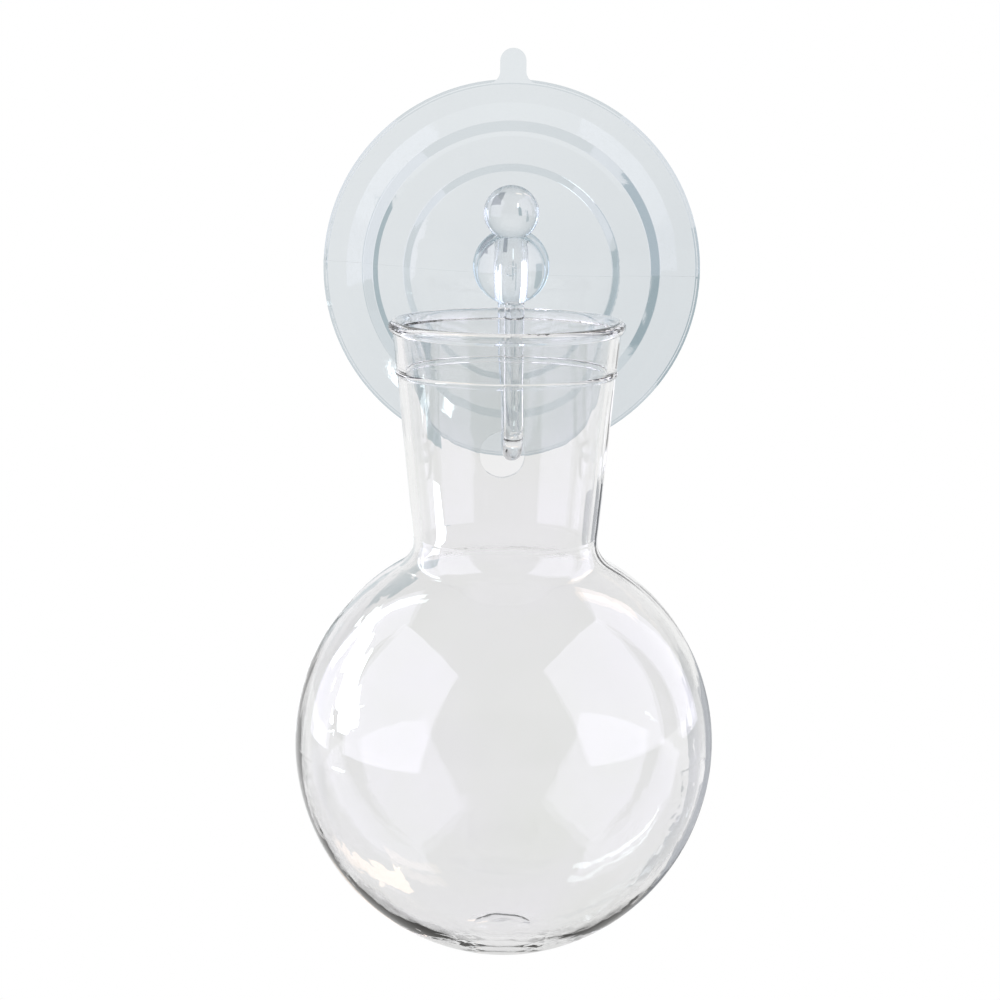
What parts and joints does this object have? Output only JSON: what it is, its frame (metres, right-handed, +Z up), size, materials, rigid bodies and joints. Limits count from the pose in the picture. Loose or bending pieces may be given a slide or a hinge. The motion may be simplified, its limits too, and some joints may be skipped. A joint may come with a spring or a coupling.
{
  "type": "hanging window globe vase",
  "caption": "Clear glass globe vase with a flared neck that hangs by a hole in its neck from a bent glass rod held in a clear suction cup on a window pane.",
  "frame": {"origin": "middle of the suction cup's face on the pane", "axes": "+Y points into the pane, +X is to the right of someone facing the window, +Z is up"},
  "size_m": [0.0676, 0.0692, 0.1448],
  "materials": {
    "clear_pvc": "clear soft PVC with a faint blue-grey tint",
    "rod_glass": "clear fire-polished glass",
    "vase_glass": "clear blown glass, polished"
  },
  "bodies": {
    "cup": {"suction_cup": "clear_pvc"},
    "hook": {"glass_hook": "rod_glass"},
    "hanging_vase": {"vase": "vase_glass"}
  },
  "joints": [
    {"name": "hook_swivel", "type": "hinge", "parent": "cup", "child": "hook", "pos_m": [0, -0.014, 0], "axis": [0, 0, 1], "range_deg": [-20, 20]},
    {"name": "vase_sway", "type": "hinge", "parent": "hook", "child": "hanging_vase", "pos_m": [0.00043, -0.02017, -0.02793], "axis": [0, 1, 0], "range_deg": [-8, 8]}
  ]
}
